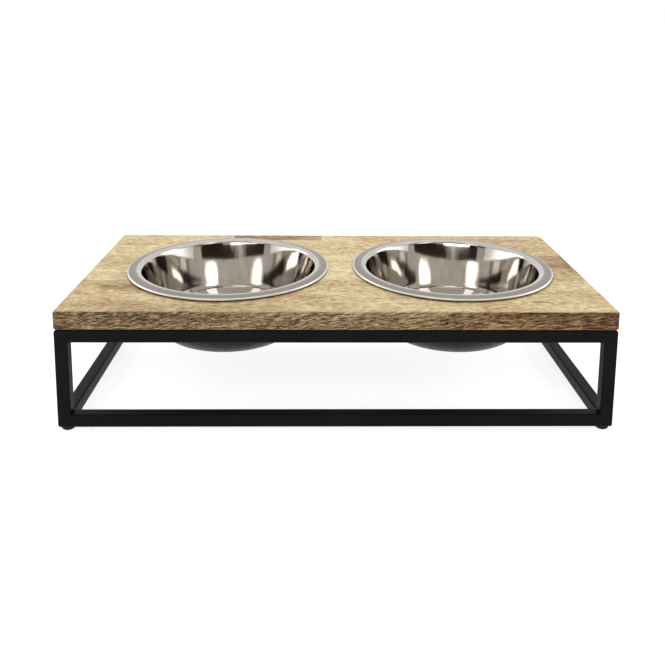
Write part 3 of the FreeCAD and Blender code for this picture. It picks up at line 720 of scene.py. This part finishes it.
for name, (bearing, rise, distance, width, height, radiance) in LAMPS.items():
    lamp = bpy.data.lights.new(name, "AREA")
    lamp.shape = "ELLIPSE"
    lamp.size, lamp.size_y = width, height
    lamp.energy = radiance * math.pi * width * height
    holder = bpy.data.objects.new(name, lamp)
    bpy.context.scene.collection.objects.link(holder)
    stand_at(holder, bearing, rise, distance)
    holder.visible_camera = False
    holder.visible_glossy = False

# Lit cards stand where the side lamps do, in the same terms, and show only in the steel, as soft white
# patches that fade into the white of the surround
LIT_CARDS = {
    "card_left": (-62, 25.5, 1.1, 0.86, 0.36, 7.0),
    "card_right": (76, 25.5, 1.1, 0.86, 0.36, 7.0),
    "low_card_left": (-88, 5, 1.1, 1.5, 0.56, 2.1),
    "low_card_right": (88, 5, 1.1, 1.5, 0.56, 2.1),
}
CARD_CORE = 0.2


def stage_in_steel(thing):
    """Puts a thing on the stage that only reflections show."""
    bpy.context.scene.collection.objects.link(thing)
    for rays in ("camera", "diffuse", "shadow", "transmission"):
        setattr(thing, f"visible_{rays}", False)


for name, (bearing, rise, distance, width, height, radiance) in LIT_CARDS.items():
    lit, tree, shader = new_material(f"white_{name}", Base_Color=linear(BLACK), Specular_IOR_Level=0.0,
                                     Emission_Color=linear(WHITE))
    place = add(tree, "ShaderNodeTexCoord").outputs["Object"]
    share = add(tree, "ShaderNodeVectorMath", {0: place, 1: (2 / width, 2 / height, 0)},
                operation="MULTIPLY")
    from_middle = add(tree, "ShaderNodeVectorMath", {0: share.outputs[0]}, operation="LENGTH")
    fade = add(tree, "ShaderNodeMapRange",
               {"Value": from_middle.outputs["Value"], "From Min": 1.0, "From Max": CARD_CORE,
                "To Min": 1.0, "To Max": radiance}, interpolation_type="SMOOTHSTEP")
    tree.links.new(fade.outputs[0], shader.inputs["Emission Strength"])
    card = sheet(name, width, height, lit)
    stand_at(card, bearing, rise, distance)
    stage_in_steel(card)

# The surround in front, in tiers from the floor up: a tier's bottom and top, the bearing from straight
# ahead at which it starts, and its strips from left to right, each with the bearing at which it ends
OPENING_DISTANCE = 3.0
CLOTHS = {
    "dark_cloth": ("#32271f", 1.0),
    "pale_cloth": ("#857d76", 1.0),
    "grey_wall": ("#c4bdb4", 1.0),
    "white_card": (WHITE, 1.6),
    "lit_window": (WHITE, 4.0),
}
OPENING_TIERS = [
    (0.0, 0.35, -66, [(-46, "grey_wall"), (-19, "dark_cloth"), (-14, "dark_cloth"), (-8, "pale_cloth"),
                      (-3, "dark_cloth"), (46, "dark_cloth"), (66, "grey_wall")]),
    (0.35, 0.6, -66, [(-46, "grey_wall"), (-19, "dark_cloth"), (-14, "pale_cloth"), (-8, "grey_wall"),
                      (-3, "pale_cloth"), (46, "dark_cloth"), (66, "grey_wall")]),
    (0.6, 1.0, -85, [(-55, "dark_cloth"), (-34, "dark_cloth"), (3, "lit_window"), (14, "grey_wall"),
                     (50, "dark_cloth"), (85, "dark_cloth")]),
    (1.0, 1.2, -85, [(-55, "dark_cloth"), (-34, "dark_cloth"), (-20, "dark_cloth"), (3, "grey_wall"),
                     (14, "grey_wall"), (50, "dark_cloth"), (85, "dark_cloth")]),
    (1.2, 5.5, -60, [(-48, "grey_wall"), (-34, "white_card"), (28, "grey_wall"), (44, "white_card"),
                     (60, "grey_wall")]),
]
corners = []
strip_cloths = []
for low, high, left, strips in OPENING_TIERS:
    for right, cloth_name in strips:
        for angle, height in ((left, low), (right, low), (right, high), (left, high)):
            turn = math.radians(angle)
            corners.append((OPENING_DISTANCE * math.sin(turn), -OPENING_DISTANCE * math.cos(turn), height))
        strip_cloths.append(list(CLOTHS).index(cloth_name))
        left = right
opening_mesh = bpy.data.meshes.new("dark_opening")
opening_mesh.from_pydata(corners, [], [range(4 * k, 4 * k + 4) for k in range(len(strip_cloths))])
opening_mesh.polygons.foreach_set("material_index", strip_cloths)
for name, (hex_colour, radiance) in CLOTHS.items():
    cloth, _, _ = new_material(name, Base_Color=linear(BLACK), Specular_IOR_Level=0.0,
                               Emission_Color=linear(hex_colour), Emission_Strength=radiance)
    opening_mesh.materials.append(cloth)
stage_in_steel(bpy.data.objects.new("dark_opening", opening_mesh))

# Camera: in front, a little above and left of the middle, looking slightly down. The frame is shifted
# down because the stand lies below the lens's axis.
IMAGE_SIZE = 665
FOCAL_PIXELS = 767.99
AXIS_ROW = 150
SENSOR_WIDTH = 36.0
CAMERA_PLACE = (-14.16 * MM, -611.80 * MM, 286.84 * MM)
PITCH, YAW, ROLL = math.radians(9.1056), math.radians(1.0507), math.radians(0.4572)
camera_data = bpy.data.cameras.new("camera")
camera_data.sensor_width = SENSOR_WIDTH
camera_data.lens = FOCAL_PIXELS / IMAGE_SIZE * SENSOR_WIDTH
camera_data.shift_y = (AXIS_ROW - IMAGE_SIZE / 2) / IMAGE_SIZE
camera_data.clip_start, camera_data.clip_end = 0.01, 100.0
camera = bpy.data.objects.new("camera", camera_data)
bpy.context.scene.collection.objects.link(camera)
forward = Vector((math.sin(YAW) * math.cos(PITCH), math.cos(YAW) * math.cos(PITCH), -math.sin(PITCH)))
camera.location = CAMERA_PLACE
camera.rotation_mode = "QUATERNION"
camera.rotation_quaternion = Quaternion(forward, -ROLL) @ forward.to_track_quat("-Z", "Y")
bpy.context.scene.camera = camera
bpy.context.scene.view_settings.view_transform = "Standard"
